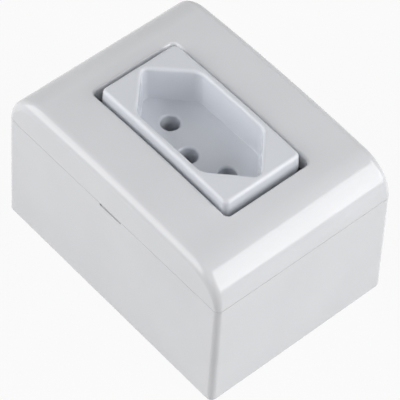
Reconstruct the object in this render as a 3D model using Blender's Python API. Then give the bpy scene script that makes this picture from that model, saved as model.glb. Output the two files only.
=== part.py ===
"""Surface mounted socket outlet, lying on its back.

A moulded box is screwed to a wall, a frame inside it carries one three-pin socket
module, and a cover with rounded ends snaps over both.  Origin: centre of the box's
back.  +X runs along the box, +Z runs out of the wall, through the socket's face.
"""
import math

import bmesh
import bpy
from mathutils import Matrix

MM = 0.001

# Clearance between pieces that touch, and how far a cutter or a joined lump reaches past a face
GAP = 0.3 * MM
REACH = 0.8 * MM

# Box
BOX_LENGTH = 70.0 * MM
BOX_WIDTH = 50.0 * MM
SEAM_HEIGHT = 31.8 * MM
FOOT_SPREAD_X = 0.25 * MM
FOOT_SPREAD_Y = 0.5 * MM
EDGE_RADIUS = 1.5 * MM
FOOT_RADIUS = 0.5 * MM
INNER_RADIUS = 0.5 * MM
WALL = 2.4 * MM
BACK = 2.4 * MM
TONGUE_HEIGHT = 1.6 * MM
TONGUE_WALL = 1.2 * MM
PRY_SLOT_LENGTH = 7.0 * MM
PRY_SLOT_HEIGHT = 0.5 * MM
PRY_SLOT_SHIFT = 0.0 * MM

# Holes and knockouts of the box
WALL_SCREW_SPACING = 35.0 * MM
WALL_SLOT_LENGTH = 8.0 * MM
WALL_SLOT_WIDTH = 4.8 * MM
SLOT_PAD_BORDER = 2.2 * MM
SLOT_PAD_HEIGHT = 1.0 * MM
KNOCKOUT_RADIUS = 8.0 * MM
KNOCKOUT_GROOVE = 0.9 * MM
KNOCKOUT_SKIN = 0.8 * MM
SIDE_KNOCKOUT_RADIUS = 7.0 * MM

# Cover
COVER_RISE = 10.3 * MM
CROWN_RADIUS = 470.0 * MM
COVER_WALL = 2.2 * MM
SKIRT_DEPTH = 5.0 * MM
SKIRT_WALL = 1.2 * MM
HOOK_SPACING = 36.0 * MM
HOOK_WIDTH = 8.0 * MM
HOOK_THICKNESS = 1.2 * MM
HOOK_ROOT = 3.0 * MM
HOOK_CATCH = 0.9 * MM
HOOK_TIP = 2.2 * MM
LEDGE_DROP = 6.0 * MM
LEDGE_HEIGHT = 1.6 * MM

# Socket module, face moulding
PIN_PITCH = 19.0 * MM
PIN_TO_END = 11.1 * MM
EARTH_OFFSET = 3.0 * MM
EARTH_PLAY = 1.25 * MM
MODULE_CORNER = 1.5 * MM
MODULE_FILLET = 0.65 * MM
END_PLAY = 1.6 * MM
SIDE_PLAY = 1.15 * MM
OPENING_EDGE = 0.4 * MM
FACE_PROUD = 1.9 * MM
FACE_HEIGHT = 14.3 * MM
FACE_WALL = 1.5 * MM
FACE_TOP = 1.8 * MM

# Plug recess
RECESS_END_LAND = 1.0 * MM
RECESS_SIDE_LAND = 1.65 * MM
RECESS_DEPTH = 9.6 * MM
RECESS_FLOOR = 2.4 * MM
RECESS_CORNER = 2.0 * MM
RECESS_RIM = 0.6 * MM
RECESS_FOOT = 0.3 * MM
PIN_HOLE_RADIUS = 2.2 * MM
PIN_HOLE_LEAD = 0.4 * MM
PIN_TUBE_WALL = 1.0 * MM
PIN_TUBE_LENGTH = 4.0 * MM

# Rear housing of the module
REAR_DEPTH = 18.2 * MM
REAR_WALL = 1.4 * MM
REAR_FLOOR = 1.6 * MM
PARTITION = 1.0 * MM
PARTITION_DROP = 3.0 * MM
WIRE_HOLE_RADIUS = 1.5 * MM
POST_RADIUS = 2.2 * MM
POST_MARGIN = 0.15 * MM
HOUSING_SCREW_RADIUS = 1.1 * MM
HOUSING_SCREW_GRIP = 5.0 * MM
HOUSING_HEAD_RADIUS = 1.9 * MM
HOUSING_HEAD_HEIGHT = 1.3 * MM

# Contacts and terminals
CONTACT_BORE = 2.05 * MM
CONTACT_WALL = 0.5 * MM
CONTACT_SLIT = 1.0 * MM
CONTACT_HEADROOM = 0.6 * MM
STRIP_WIDTH = 3.0 * MM
STRIP_THICKNESS = 0.8 * MM
STRIP_LEG = 6.6 * MM
RING_HEIGHT = 2.0 * MM
RING_WALL = 0.45 * MM
RING_DROP = 3.0 * MM
CLAMP_WIDTH = 5.0 * MM
CLAMP_HEIGHT = 6.0 * MM
CLAMP_WALL = 0.8 * MM
TERMINAL_SCREW_RADIUS = 1.25 * MM
TERMINAL_HEAD_RADIUS = 1.9 * MM
TERMINAL_HEAD_HEIGHT = 1.6 * MM

# Support frame and its screws
FRAME_THICKNESS = 2.4 * MM
FRAME_PLAY = 1.2 * MM
FRAME_CORNER = 3.0 * MM
TAB_PLAY = 0.4 * MM
TAB_WALL = 1.4 * MM
TAB_WIDTH = 9.0 * MM
TAB_HEIGHT = 5.0 * MM
BARB_DROP = 1.2 * MM
BARB_HEIGHT = 1.4 * MM
BARB_BITE = 0.5 * MM
BOSS_RADIUS = 2.6 * MM
BOSS_RIB = 1.6 * MM
BOSS_RIB_DROP = 8.0 * MM
SUPPORT_SCREW_RADIUS = 1.25 * MM
SUPPORT_SCREW_LENGTH = 12.0 * MM
SUPPORT_HEAD_RADIUS = 2.3 * MM
SUPPORT_HEAD_HEIGHT = 1.7 * MM
SUPPORT_HEAD_PLAY = 0.5 * MM
PILOT_SPARE = 1.0 * MM

# Screw shape, as shares of the screw's own radius and head
TIP_SHARE = 0.55
DOME_SHARE = 0.45
DRIVE_DEPTH_SHARE = 0.45
DRIVE_WIDTH_SHARE = 0.12
CROSS_SHARE = 0.55

# Facets
CORNER_STEPS = 5
FILLET_STEPS = 4
END_STEPS = 12
CROWN_STEPS = 10
SIDE_PIECES = 7
SLANT_PIECES = 4
ROUND_STEPS = 24
SMALL_ROUND_STEPS = 16
SMOOTH_ANGLE = math.radians(35)

# Levels and half sizes that follow from the sizes above
BOX_X = BOX_LENGTH / 2
BOX_Y = BOX_WIDTH / 2
INNER_X = BOX_X - WALL
INNER_Y = BOX_Y - WALL
BASE_RIM_Z = SEAM_HEIGHT - GAP / 2
TONGUE_TOP_Z = BASE_RIM_Z + TONGUE_HEIGHT
COVER_LOW_Z = SEAM_HEIGHT + GAP / 2
COVER_TOP_Z = SEAM_HEIGHT + COVER_RISE
CONTACT_RADIUS = CONTACT_BORE + CONTACT_WALL
RING_RADIUS = CONTACT_RADIUS + GAP + RING_WALL
MODULE_X = PIN_PITCH / 2 + PIN_TO_END
MODULE_Y = EARTH_OFFSET + RING_RADIUS + EARTH_PLAY + REAR_WALL + GAP + FACE_WALL
OPENING_X = MODULE_X + END_PLAY
OPENING_Y = MODULE_Y + SIDE_PLAY
FACE_TOP_Z = COVER_TOP_Z + FACE_PROUD
FACE_LOW_Z = FACE_TOP_Z - FACE_HEIGHT
RECESS_FLOOR_Z = FACE_TOP_Z - RECESS_DEPTH
FLOOR_UNDER_Z = RECESS_FLOOR_Z - RECESS_FLOOR
FACE_INNER_X = MODULE_X - FACE_WALL
FACE_INNER_Y = MODULE_Y - FACE_WALL
RECESS_X = MODULE_X - RECESS_END_LAND
RECESS_Y = MODULE_Y - RECESS_SIDE_LAND
REAR_X = FACE_INNER_X - GAP
REAR_Y = FACE_INNER_Y - GAP
REAR_TOP_Z = FLOOR_UNDER_Z - GAP
REAR_LOW_Z = FACE_LOW_Z - REAR_DEPTH
REAR_FLOOR_Z = REAR_LOW_Z + REAR_FLOOR
POST_X = REAR_X - POST_RADIUS - POST_MARGIN
POST_Y = -(REAR_Y - POST_RADIUS - POST_MARGIN)
CONTACT_LOW_Z = REAR_FLOOR_Z + GAP
TUBE_LOW_Z = FLOOR_UNDER_Z - PIN_TUBE_LENGTH
CONTACT_HIGH_Z = TUBE_LOW_Z - CONTACT_HEADROOM
CLAMP_LOW_Z = CONTACT_LOW_Z + STRIP_THICKNESS + GAP
CLAMP_NEAR = CONTACT_RADIUS + GAP
CLAMP_FAR = REAR_X - REAR_WALL - GAP - PIN_PITCH / 2
LEG_FACE = CLAMP_NEAR + CLAMP_WALL + GAP + STRIP_THICKNESS
SCREW_SEAT = CLAMP_FAR + GAP
SCREW_AXIS_Z = CLAMP_LOW_Z + CLAMP_HEIGHT / 2
FRAME_TOP_Z = FACE_LOW_Z - GAP
FRAME_LOW_Z = FRAME_TOP_Z - FRAME_THICKNESS
BOSS_TOP_Z = FRAME_LOW_Z - GAP
TAB_X = MODULE_X + TAB_PLAY
BOSS_X = MODULE_X + SUPPORT_HEAD_PLAY + SUPPORT_HEAD_RADIUS
BOSS_Y = TAB_WIDTH / 2 + SUPPORT_HEAD_PLAY + SUPPORT_HEAD_RADIUS
LEDGE_LOW_Z = BASE_RIM_Z - LEDGE_DROP - LEDGE_HEIGHT
SIDE_KNOCKOUT_Z = (BACK + LEDGE_LOW_Z) / 2
HOOK_FACE_Y = INNER_Y - HOOK_CATCH - GAP
HOOK_BACK_Y = HOOK_FACE_Y - HOOK_THICKNESS
FRAME_X = INNER_X - FRAME_PLAY
FRAME_Y = HOOK_BACK_Y - 2 * GAP

# The end rounding starts upright at the seam and runs smoothly into the crowned top
END_RADIUS = ((2 * CROWN_RADIUS * COVER_RISE - COVER_RISE ** 2 - BOX_X ** 2)
              / (2 * (CROWN_RADIUS - BOX_X)))
END_CENTRE_X = BOX_X - END_RADIUS
CROWN_CENTRE_Z = COVER_TOP_Z - CROWN_RADIUS
TANGENT = math.atan2(SEAM_HEIGHT - CROWN_CENTRE_Z, END_CENTRE_X)

# Turns an upright piece so that its axis is a terminal screw's, pointing outwards along +X
SCREW_AXIS = Matrix.Translation((0, 0, SCREW_AXIS_Z)) @ Matrix.Rotation(math.pi / 2, 4, "Y")


def make_material(name, colour, roughness, metallic=0.0):
    """One plain material: base colour in linear light, roughness and metallic value."""
    material = bpy.data.materials.new(name)
    material.use_nodes = True
    shader = material.node_tree.nodes["Principled BSDF"]
    shader.inputs["Base Color"].default_value = (*colour, 1.0)
    shader.inputs["Roughness"].default_value = roughness
    shader.inputs["Metallic"].default_value = metallic
    return material


def arc(centre_a, centre_b, radius, start, end, steps):
    """Points on an arc from one angle to another, both ends included."""
    angles = [start + (end - start) * i / steps for i in range(steps + 1)]
    return [(centre_a + radius * math.cos(t), centre_b + radius * math.sin(t)) for t in angles]


def quarter_turns(steps=FILLET_STEPS):
    """Angles from 0 to a quarter turn, for one fillet."""
    return [math.pi / 2 * i / steps for i in range(steps + 1)]


def circle(radius, steps=ROUND_STEPS, x=0.0, y=0.0):
    """Points round a circle in the XY plane."""
    return arc(x, y, radius, 0.0, 2 * math.pi, steps)[:-1]


def rectangle(half_x, half_y, x=0.0, y=0.0):
    """Corners of a rectangle in the XY plane."""
    signs = ((1, 1), (-1, 1), (-1, -1), (1, -1))
    return [(x + a * half_x, y + b * half_y) for a, b in signs]


def round_corners(corners, radius, steps):
    """A convex outline with each corner turned into an arc."""
    outline = []
    count = len(corners)
    for i, (x, y) in enumerate(corners):
        before = corners[i - 1]
        after = corners[(i + 1) % count]
        length_in = math.hypot(x - before[0], y - before[1])
        length_out = math.hypot(after[0] - x, after[1] - y)
        into = ((x - before[0]) / length_in, (y - before[1]) / length_in)
        out = ((after[0] - x) / length_out, (after[1] - y) / length_out)
        turn = math.acos(into[0] * out[0] + into[1] * out[1])
        back = radius * math.tan(turn / 2)
        centre = (x - into[0] * back - into[1] * radius, y - into[1] * back + into[0] * radius)
        start = math.atan2(-into[0], into[1])
        outline += arc(*centre, radius, start, start + turn, steps)
    return outline


def rounded_rectangle(half_x, half_y, radius, steps=CORNER_STEPS):
    """A rectangle about the origin with rounded corners."""
    return round_corners(rectangle(half_x, half_y), radius, steps)


def split_sides(outline, corner_points, pieces):
    """The same outline with its straight sides split, so that it can follow the crown."""
    result = []
    for i in range(0, len(outline), corner_points):
        corner = outline[i:i + corner_points]
        (ax, ay), (bx, by) = corner[-1], outline[(i + corner_points) % len(outline)]
        count = pieces[i // corner_points % len(pieces)]
        result += corner + [(ax + (bx - ax) * k / count, ay + (by - ay) * k / count) for k in range(1, count)]
    return result


def on_crown(outline, top_z, drop=0.0):
    """An outline laid on the crowned surface whose middle is at top_z, or a little under it."""
    radius = CROWN_RADIUS + top_z - COVER_TOP_Z
    return [(x, y, top_z - radius + math.sqrt(radius ** 2 - x ** 2) - drop) for x, y in outline]


def slot_outline(length, width, x, y, along_y=False):
    """A slot with round ends."""
    straight = (length - width) / 2
    steps = SMALL_ROUND_STEPS // 2
    points = arc(straight, 0.0, width / 2, -math.pi / 2, math.pi / 2, steps)
    points += arc(-straight, 0.0, width / 2, math.pi / 2, 3 * math.pi / 2, steps)
    if along_y:
        points = [(-b, a) for a, b in points]
    return [(x + a, y + b) for a, b in points]


def recess_outline(offset):
    """The plug recess in plan: a long six-sided shape with 45 degree ends, grown by an offset."""
    tip = RECESS_X + offset * math.sqrt(2)
    side = RECESS_Y + offset
    shoulder = tip - side
    corners = [(tip, 0.0), (shoulder, side), (-shoulder, side),
               (-tip, 0.0), (-shoulder, -side), (shoulder, -side)]
    rounded = round_corners(corners, RECESS_CORNER + offset, CORNER_STEPS)
    return split_sides(rounded, CORNER_STEPS + 1, (SLANT_PIECES, 2 * SLANT_PIECES, SLANT_PIECES))


def module_outline(inset):
    """The module's face in plan, shrunk by an inset."""
    rounded = rounded_rectangle(MODULE_X - inset, MODULE_Y - inset, MODULE_CORNER - inset)
    return split_sides(rounded, CORNER_STEPS + 1, (SIDE_PIECES, 1))


def opening_outline(offset):
    """The cover's opening in plan, with sharp corners, grown by an offset."""
    return split_sides(rectangle(OPENING_X + offset, OPENING_Y + offset), 1, (SIDE_PIECES, 1))


def cover_outline(offset, low_z):
    """The cover seen from its long side: two round ends and a slightly crowned top."""
    radius = END_RADIUS - offset
    start = math.asin(max(0.0, low_z - SEAM_HEIGHT) / radius)
    right = arc(END_CENTRE_X, SEAM_HEIGHT, radius, start, TANGENT, END_STEPS)
    if low_z < SEAM_HEIGHT:
        right.insert(0, (END_CENTRE_X + radius, low_z))
    crown = arc(0.0, CROWN_CENTRE_Z, CROWN_RADIUS - offset, TANGENT, math.pi - TANGENT, CROWN_STEPS)
    left = [(-x, z) for x, z in reversed(right)]
    return right + crown[1:-1] + left


def loft(name, loops, strips=False):
    """A closed solid through equal loops of 3-D points, capped at its first and last loop.

    With strips, the last cap is made of strips between points that mirror each other in y.
    """
    mesh = bpy.data.meshes.new(name)
    bm = bmesh.new()
    rings = [[bm.verts.new(point) for point in loop] for loop in loops]
    for lower, upper in zip(rings, rings[1:]):
        for i in range(len(lower)):
            bm.faces.new((lower[i - 1], lower[i], upper[i], upper[i - 1]))
    bm.faces.new(rings[0])
    last = rings[-1]
    if strips:
        for i in range(len(last) // 2 - 1):
            bm.faces.new((last[i], last[i + 1], last[-2 - i], last[-1 - i]))
    else:
        bm.faces.new(last)
    bmesh.ops.recalc_face_normals(bm, faces=bm.faces)
    bm.to_mesh(mesh)
    bm.free()
    body = bpy.data.objects.new(name, mesh)
    bpy.context.collection.objects.link(body)
    return body


def stack(name, layers):
    """A solid from flat outlines at rising or falling heights: (outline, z) pairs."""
    return loft(name, [[(x, y, z) for x, y in outline] for outline, z in layers])


def prism(name, outline, low, high):
    """An upright solid with one outline."""
    return stack(name, [(outline, low), (outline, high)])


def block(name, low, high):
    """A box from its lowest and highest corners."""
    half_x, half_y = (high[0] - low[0]) / 2, (high[1] - low[1]) / 2
    return prism(name, rectangle(half_x, half_y, low[0] + half_x, low[1] + half_y), low[2], high[2])


def flared(name, outline, layers, radius, top_z):
    """A cutter with upright walls that opens out in a small radius where it meets a crowned top.

    outline gives the shape in plan for an offset; layers are (offset, z) pairs under the rim.
    """
    loops = [[(x, y, z) for x, y in outline(offset)] for offset, z in layers]
    for t in quarter_turns():
        loops.append(on_crown(outline(radius * (1 - math.cos(t))), top_z, radius * (1 - math.sin(t))))
    loops.append([(x, y, top_z + REACH) for x, y in outline(radius)])
    return loft(name, loops)


def turned(name, profile, steps=ROUND_STEPS, x=0.0, y=0.0):
    """A turned solid about an upright axis, from (radius, z) pairs along its side."""
    return stack(name, [(circle(radius, steps, x, y), z) for radius, z in profile])


def combine(body, tool, operation):
    """Apply one Boolean to a body and delete the tool."""
    modifier = body.modifiers.new(operation.lower(), "BOOLEAN")
    modifier.operation = operation
    modifier.solver = "EXACT"
    modifier.object = tool
    graph = bpy.context.evaluated_depsgraph_get()
    result = bpy.data.meshes.new_from_object(body.evaluated_get(graph))
    body.modifiers.clear()
    plain = body.data
    body.data = result
    bpy.data.meshes.remove(plain)
    bpy.data.objects.remove(tool)


def cut(body, *tools):
    """Take tools away from a body."""
    for tool in tools:
        combine(body, tool, "DIFFERENCE")


def add(body, *tools):
    """Make tools part of a body."""
    for tool in tools:
        combine(body, tool, "UNION")


def move(body, matrix):
    """Turn and shift a body's points, keeping its own place at the origin."""
    body.data.transform(matrix)


def finish(body, material):
    """Give a body its material and smooth its round faces."""
    body.data.materials.clear()
    body.data.materials.append(material)
    body.data.shade_smooth()
    body.data.set_sharp_from_angle(angle=SMOOTH_ANGLE)
    return body


def share(body, name, matrix):
    """A second object with the same mesh, placed by a matrix."""
    twin = bpy.data.objects.new(name, body.data)
    twin.matrix_world = matrix
    bpy.context.collection.objects.link(twin)
    return twin


def make_base_box(material):
    """The open box: tongue round its rim, screw bosses, catch ledges, wall slots and knockouts."""
    foot = [(FOOT_RADIUS * (1 - math.sin(t)), FOOT_RADIUS * (1 - math.cos(t))) for t in quarter_turns()]
    tongue = WALL - TONGUE_WALL
    steps = foot + [(0.0, BASE_RIM_Z), (tongue, BASE_RIM_Z), (tongue, TONGUE_TOP_Z),
                    (WALL, TONGUE_TOP_Z), (WALL, BACK)]
    layers = []
    for inset, z in steps:
        radius = max(EDGE_RADIUS - inset, INNER_RADIUS)
        # The outside stands out a little towards the wall, the inside is upright
        lean = 0.0 if inset == WALL else max(1 - z / BASE_RIM_Z, 0.0)
        half_x = BOX_X - inset + FOOT_SPREAD_X * lean
        half_y = BOX_Y - inset + FOOT_SPREAD_Y * lean
        layers.append((rounded_rectangle(half_x, half_y, radius), z))
    box = stack("base_box", layers)
    pilot_low = FRAME_TOP_Z + GAP - SUPPORT_SCREW_LENGTH - PILOT_SPARE
    rib_top = BOSS_TOP_Z - BOSS_RIB_DROP
    for side in (-1, 1):
        x, y = side * BOSS_X, -side * BOSS_Y
        outer = side * (INNER_X + REACH)
        add(box, prism("boss", circle(BOSS_RADIUS, x=x, y=y), BACK - REACH, BOSS_TOP_Z))
        add(box, block("rib", (min(x, outer), y - BOSS_RIB / 2, BACK - REACH),
                       (max(x, outer), y + BOSS_RIB / 2, rib_top)))
        pilot = circle(SUPPORT_SCREW_RADIUS + GAP, SMALL_ROUND_STEPS, x, y)
        cut(box, prism("pilot", pilot, pilot_low, BOSS_TOP_Z + REACH))
        slot_x = side * WALL_SCREW_SPACING / 2
        upright = side > 0
        pad = slot_outline(WALL_SLOT_LENGTH + 2 * SLOT_PAD_BORDER, WALL_SLOT_WIDTH + 2 * SLOT_PAD_BORDER,
                           slot_x, 0.0, upright)
        add(box, prism("slot_pad", pad, BACK - REACH, BACK + SLOT_PAD_HEIGHT))
        slot = slot_outline(WALL_SLOT_LENGTH, WALL_SLOT_WIDTH, slot_x, 0.0, upright)
        cut(box, prism("wall_slot", slot, -REACH, BACK + SLOT_PAD_HEIGHT + REACH))
        for end in (-1, 1):
            add(box, make_ledge(end * HOOK_SPACING / 2, side))
        place = Matrix.Translation((0, side * INNER_Y, SIDE_KNOCKOUT_Z))
        facing = Matrix.Rotation(side * math.pi / 2, 4, "X")
        cut(box, make_knockout_ring(SIDE_KNOCKOUT_RADIUS, place @ facing))
    cut(box, make_knockout_ring(KNOCKOUT_RADIUS, Matrix.Rotation(math.pi, 4, "X")))
    low = (PRY_SLOT_SHIFT - PRY_SLOT_LENGTH / 2, -BOX_Y - REACH, BASE_RIM_Z - PRY_SLOT_HEIGHT)
    high = (PRY_SLOT_SHIFT + PRY_SLOT_LENGTH / 2, -INNER_Y + REACH, TONGUE_TOP_Z + REACH)
    cut(box, block("pry_slot", low, high))
    return finish(box, material)


def make_knockout_ring(radius, matrix):
    """A ring cutter: it scores a face on z = 0 and leaves a thin skin under the groove."""
    depth = WALL - KNOCKOUT_SKIN
    outer = prism("knockout", circle(radius + KNOCKOUT_GROOVE / 2), -depth, REACH)
    cut(outer, prism("core", circle(radius - KNOCKOUT_GROOVE / 2), -depth - REACH, 2 * REACH))
    move(outer, matrix)
    return outer


def make_ledge(x, side):
    """A wedge on the box's inner wall that a cover hook catches under."""
    inner = side * (INNER_Y - HOOK_CATCH)
    root = side * (INNER_Y + REACH)
    half = HOOK_WIDTH / 2
    top = LEDGE_LOW_Z + LEDGE_HEIGHT
    profile = [(root, LEDGE_LOW_Z), (inner, LEDGE_LOW_Z),
               (inner, LEDGE_LOW_Z + LEDGE_HEIGHT / 3), (root, top + REACH)]
    return loft("ledge", [[(end, y, z) for y, z in profile] for end in (x - half, x + half)])


def make_hook(x, side):
    """A snap hook of the cover, hanging inside the box wall with its barb under the ledge."""
    half = HOOK_WIDTH / 2
    root_low = TONGUE_TOP_Z + GAP
    root_high = root_low + HOOK_ROOT
    barb_top = LEDGE_LOW_Z - GAP
    barb_low = barb_top - HOOK_TIP
    wall = BOX_Y - COVER_WALL + REACH
    tip = HOOK_FACE_Y + HOOK_CATCH
    profile = [(HOOK_BACK_Y, root_high), (HOOK_BACK_Y, barb_low), (HOOK_FACE_Y, barb_low),
               (tip, barb_top - HOOK_TIP / 3), (tip, barb_top), (HOOK_FACE_Y, barb_top),
               (HOOK_FACE_Y, root_low), (wall, root_low), (wall, root_high)]
    return loft("hook", [[(end, side * y, z) for y, z in profile] for end in (x - half, x + half)])


def make_cover_solid(name, offset, half_width, fillet, low_z):
    """A solid with the cover's outline, its long edges rounded from the top round to the sides."""
    stations = [(fillet * (1 - math.cos(t)), half_width - fillet * (1 - math.sin(t)))
                for t in quarter_turns()]
    loops = []
    for inset, y in reversed(stations):
        loops.append([(x, -y, z) for x, z in cover_outline(offset + inset, low_z)])
    for inset, y in stations:
        loops.append([(x, y, z) for x, z in cover_outline(offset + inset, low_z)])
    return loft(name, loops)


def make_front_cover(material):
    """The cover: a shell with a sharp cornered opening, a guide skirt, a rebate and four hooks."""
    cover = make_cover_solid("front_cover", 0.0, BOX_Y, EDGE_RADIUS, COVER_LOW_Z)
    cut(cover, make_cover_solid("cavity", COVER_WALL, BOX_Y - COVER_WALL, INNER_RADIUS, COVER_LOW_Z - REACH))
    rebate = WALL - TONGUE_WALL - GAP
    outline = rounded_rectangle(BOX_X - rebate, BOX_Y - rebate, EDGE_RADIUS - rebate)
    cut(cover, prism("rebate", outline, COVER_LOW_Z - REACH, TONGUE_TOP_Z + GAP))
    skirt_low = COVER_TOP_Z - SKIRT_DEPTH
    skirt = rounded_rectangle(OPENING_X + SKIRT_WALL, OPENING_Y + SKIRT_WALL, SKIRT_WALL)
    add(cover, prism("skirt", skirt, skirt_low, COVER_TOP_Z - COVER_WALL))
    cut(cover, flared("opening", opening_outline, [(0.0, skirt_low - REACH)], OPENING_EDGE, COVER_TOP_Z))
    for side in (-1, 1):
        for end in (-1, 1):
            add(cover, make_hook(end * HOOK_SPACING / 2, side))
    return finish(cover, material)


def make_socket_face(material):
    """The module's face: filleted block, six-sided recess, three pin tubes, hollow underneath."""
    loops = [[(x, y, FACE_LOW_Z) for x, y in module_outline(0.0)]]
    for t in quarter_turns():
        outline = module_outline(MODULE_FILLET * (1 - math.cos(t)))
        loops.append(on_crown(outline, FACE_TOP_Z, MODULE_FILLET * (1 - math.sin(t))))
    face = loft("socket_face", loops, strips=True)
    under = rounded_rectangle(FACE_INNER_X, FACE_INNER_Y, INNER_RADIUS)
    cut(face, prism("hollow", under, FACE_LOW_Z - REACH, FLOOR_UNDER_Z))
    wall_line = RECESS_X + FACE_WALL * math.sqrt(2)
    for side in (-1, 1):
        for end in (-1, 1):
            corner = [(FACE_INNER_X, wall_line - FACE_INNER_X), (FACE_INNER_X, FACE_INNER_Y),
                      (wall_line - FACE_INNER_Y, FACE_INNER_Y)]
            pocket = [(end * x, side * y) for x, y in corner]
            cut(face, prism("corner_pocket", pocket, FLOOR_UNDER_Z - REACH, FACE_TOP_Z - FACE_TOP))
    cut(face, make_recess_cutter())
    for _, (x, y), _ in terminals():
        add(face, prism("pin_tube", circle(PIN_HOLE_RADIUS + PIN_TUBE_WALL, x=x, y=y),
                        TUBE_LOW_Z, RECESS_FLOOR_Z - RECESS_FLOOR / 2))
        cut(face, make_pin_hole_cutter(x, y))
    pilot_high = FLOOR_UNDER_Z + HOUSING_SCREW_GRIP + PILOT_SPARE
    for end in (-1, 1):
        post = circle(POST_RADIUS, SMALL_ROUND_STEPS, end * POST_X, POST_Y)
        add(face, prism("post", post, FLOOR_UNDER_Z + POST_MARGIN, FACE_TOP_Z - FACE_TOP + REACH))
        pilot = circle(HOUSING_SCREW_RADIUS + GAP, SMALL_ROUND_STEPS, end * POST_X, POST_Y)
        cut(face, prism("pilot", pilot, FLOOR_UNDER_Z - REACH, pilot_high))
        notch = BARB_BITE + GAP
        barb_low = FRAME_TOP_Z + TAB_HEIGHT - BARB_DROP - BARB_HEIGHT
        x_low, x_high = sorted((end * (MODULE_X - notch), end * (MODULE_X + REACH)))
        half = TAB_WIDTH / 2 + GAP
        cut(face, block("notch", (x_low, -half, barb_low - GAP),
                        (x_high, half, barb_low + BARB_HEIGHT + GAP)))
    return finish(face, material)


def make_recess_cutter():
    """The space of the plug recess, rounded at its floor and opening out at its rim."""
    layers = [(-RECESS_FOOT * (1 - math.sin(t)), RECESS_FLOOR_Z + RECESS_FOOT * (1 - math.cos(t)))
              for t in quarter_turns(2)]
    return flared("recess", recess_outline, layers, RECESS_RIM, FACE_TOP_Z)


def make_pin_hole_cutter(x, y):
    """A pin hole with a small rounded lead-in at the recess floor."""
    profile = [(PIN_HOLE_RADIUS, TUBE_LOW_Z - REACH)]
    for t in quarter_turns(2):
        radius = PIN_HOLE_RADIUS + PIN_HOLE_LEAD * (1 - math.cos(t))
        profile.append((radius, RECESS_FLOOR_Z - PIN_HOLE_LEAD * (1 - math.sin(t))))
    profile.append((PIN_HOLE_RADIUS + PIN_HOLE_LEAD, RECESS_FLOOR_Z + REACH))
    return turned("pin_hole", profile, x=x, y=y)


def terminals():
    """Name, place and direction of the three contacts; each terminal lies at the direction's end."""
    half = PIN_PITCH / 2
    return [("live", (-half, 0.0), math.pi), ("neutral", (half, 0.0), 0.0),
            ("earth", (0.0, -EARTH_OFFSET), math.pi / 2)]


def make_rear_cover(material):
    """The module's rear housing: a tray with partitions, wire holes and screwdriver holes."""
    rear = prism("socket_rear_cover", rounded_rectangle(REAR_X, REAR_Y, INNER_RADIUS), REAR_LOW_Z, REAR_TOP_Z)
    inner = rounded_rectangle(REAR_X - REAR_WALL, REAR_Y - REAR_WALL, INNER_RADIUS)
    cut(rear, prism("tray", inner, REAR_FLOOR_Z, REAR_TOP_Z + REACH))
    half_y = REAR_Y - REAR_WALL + REACH
    for end in (-1, 1):
        x = end * PIN_PITCH / 4
        add(rear, block("partition", (x - PARTITION / 2, -half_y, REAR_FLOOR_Z - REACH),
                        (x + PARTITION / 2, half_y, CONTACT_HIGH_Z - PARTITION_DROP)))
        post = circle(POST_RADIUS, SMALL_ROUND_STEPS, end * POST_X, POST_Y)
        add(rear, prism("post", post, REAR_FLOOR_Z - REACH, REAR_TOP_Z))
        hole = circle(HOUSING_SCREW_RADIUS + GAP, SMALL_ROUND_STEPS, end * POST_X, POST_Y)
        cut(rear, prism("post_hole", hole, REAR_LOW_Z - REACH, REAR_TOP_Z + REACH))
    for _, (x, y), angle in terminals():
        place = Matrix.Translation((x, y, 0)) @ Matrix.Rotation(angle, 4, "Z")
        wire_x = (LEG_FACE + CLAMP_FAR - CLAMP_WALL) / 2
        wire = prism("wire_hole", circle(WIRE_HOLE_RADIUS, SMALL_ROUND_STEPS, wire_x),
                     REAR_LOW_Z - REACH, REAR_FLOOR_Z + REACH)
        move(wire, place)
        driver = prism("driver_hole", circle(TERMINAL_HEAD_RADIUS + GAP, SMALL_ROUND_STEPS),
                       SCREW_SEAT, REAR_X + REACH)
        move(driver, place @ SCREW_AXIS)
        cut(rear, wire, driver)
    return finish(rear, material)


def make_contact(material):
    """A slit brass sleeve with a strip under it that turns up inside the terminal."""
    contact = prism("contact", circle(CONTACT_RADIUS), CONTACT_LOW_Z, CONTACT_HIGH_Z)
    leg_back = LEG_FACE - STRIP_THICKNESS
    low = CONTACT_LOW_Z
    profile = [(0.0, low), (LEG_FACE, low), (LEG_FACE, low + STRIP_LEG), (leg_back, low + STRIP_LEG),
               (leg_back, low + STRIP_THICKNESS), (0.0, low + STRIP_THICKNESS)]
    half = STRIP_WIDTH / 2
    add(contact, loft("strip", [[(x, y, z) for x, z in profile] for y in (-half, half)]))
    cut(contact, prism("bore", circle(CONTACT_BORE), CONTACT_LOW_Z - REACH, CONTACT_HIGH_Z + REACH))
    slit = block("slit", (-CONTACT_RADIUS - REACH, -CONTACT_SLIT / 2, CONTACT_LOW_Z - REACH),
                 (-CONTACT_BORE / 2, CONTACT_SLIT / 2, CONTACT_HIGH_Z + REACH))
    cut(contact, slit)
    return finish(contact, material)


def make_spring_ring(material):
    """A steel collar, split on one side, that presses the sleeve onto the pin."""
    high = CONTACT_HIGH_Z - RING_DROP
    inner = RING_RADIUS - RING_WALL
    ring = prism("spring_ring", circle(RING_RADIUS), high - RING_HEIGHT, high)
    cut(ring, prism("bore", circle(inner), high - RING_HEIGHT - REACH, high + REACH))
    cut(ring, block("split", (-RING_RADIUS - REACH, -CONTACT_SLIT, high - RING_HEIGHT - REACH),
                    (-inner / 2, CONTACT_SLIT, high + REACH)))
    return finish(ring, material)


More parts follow.
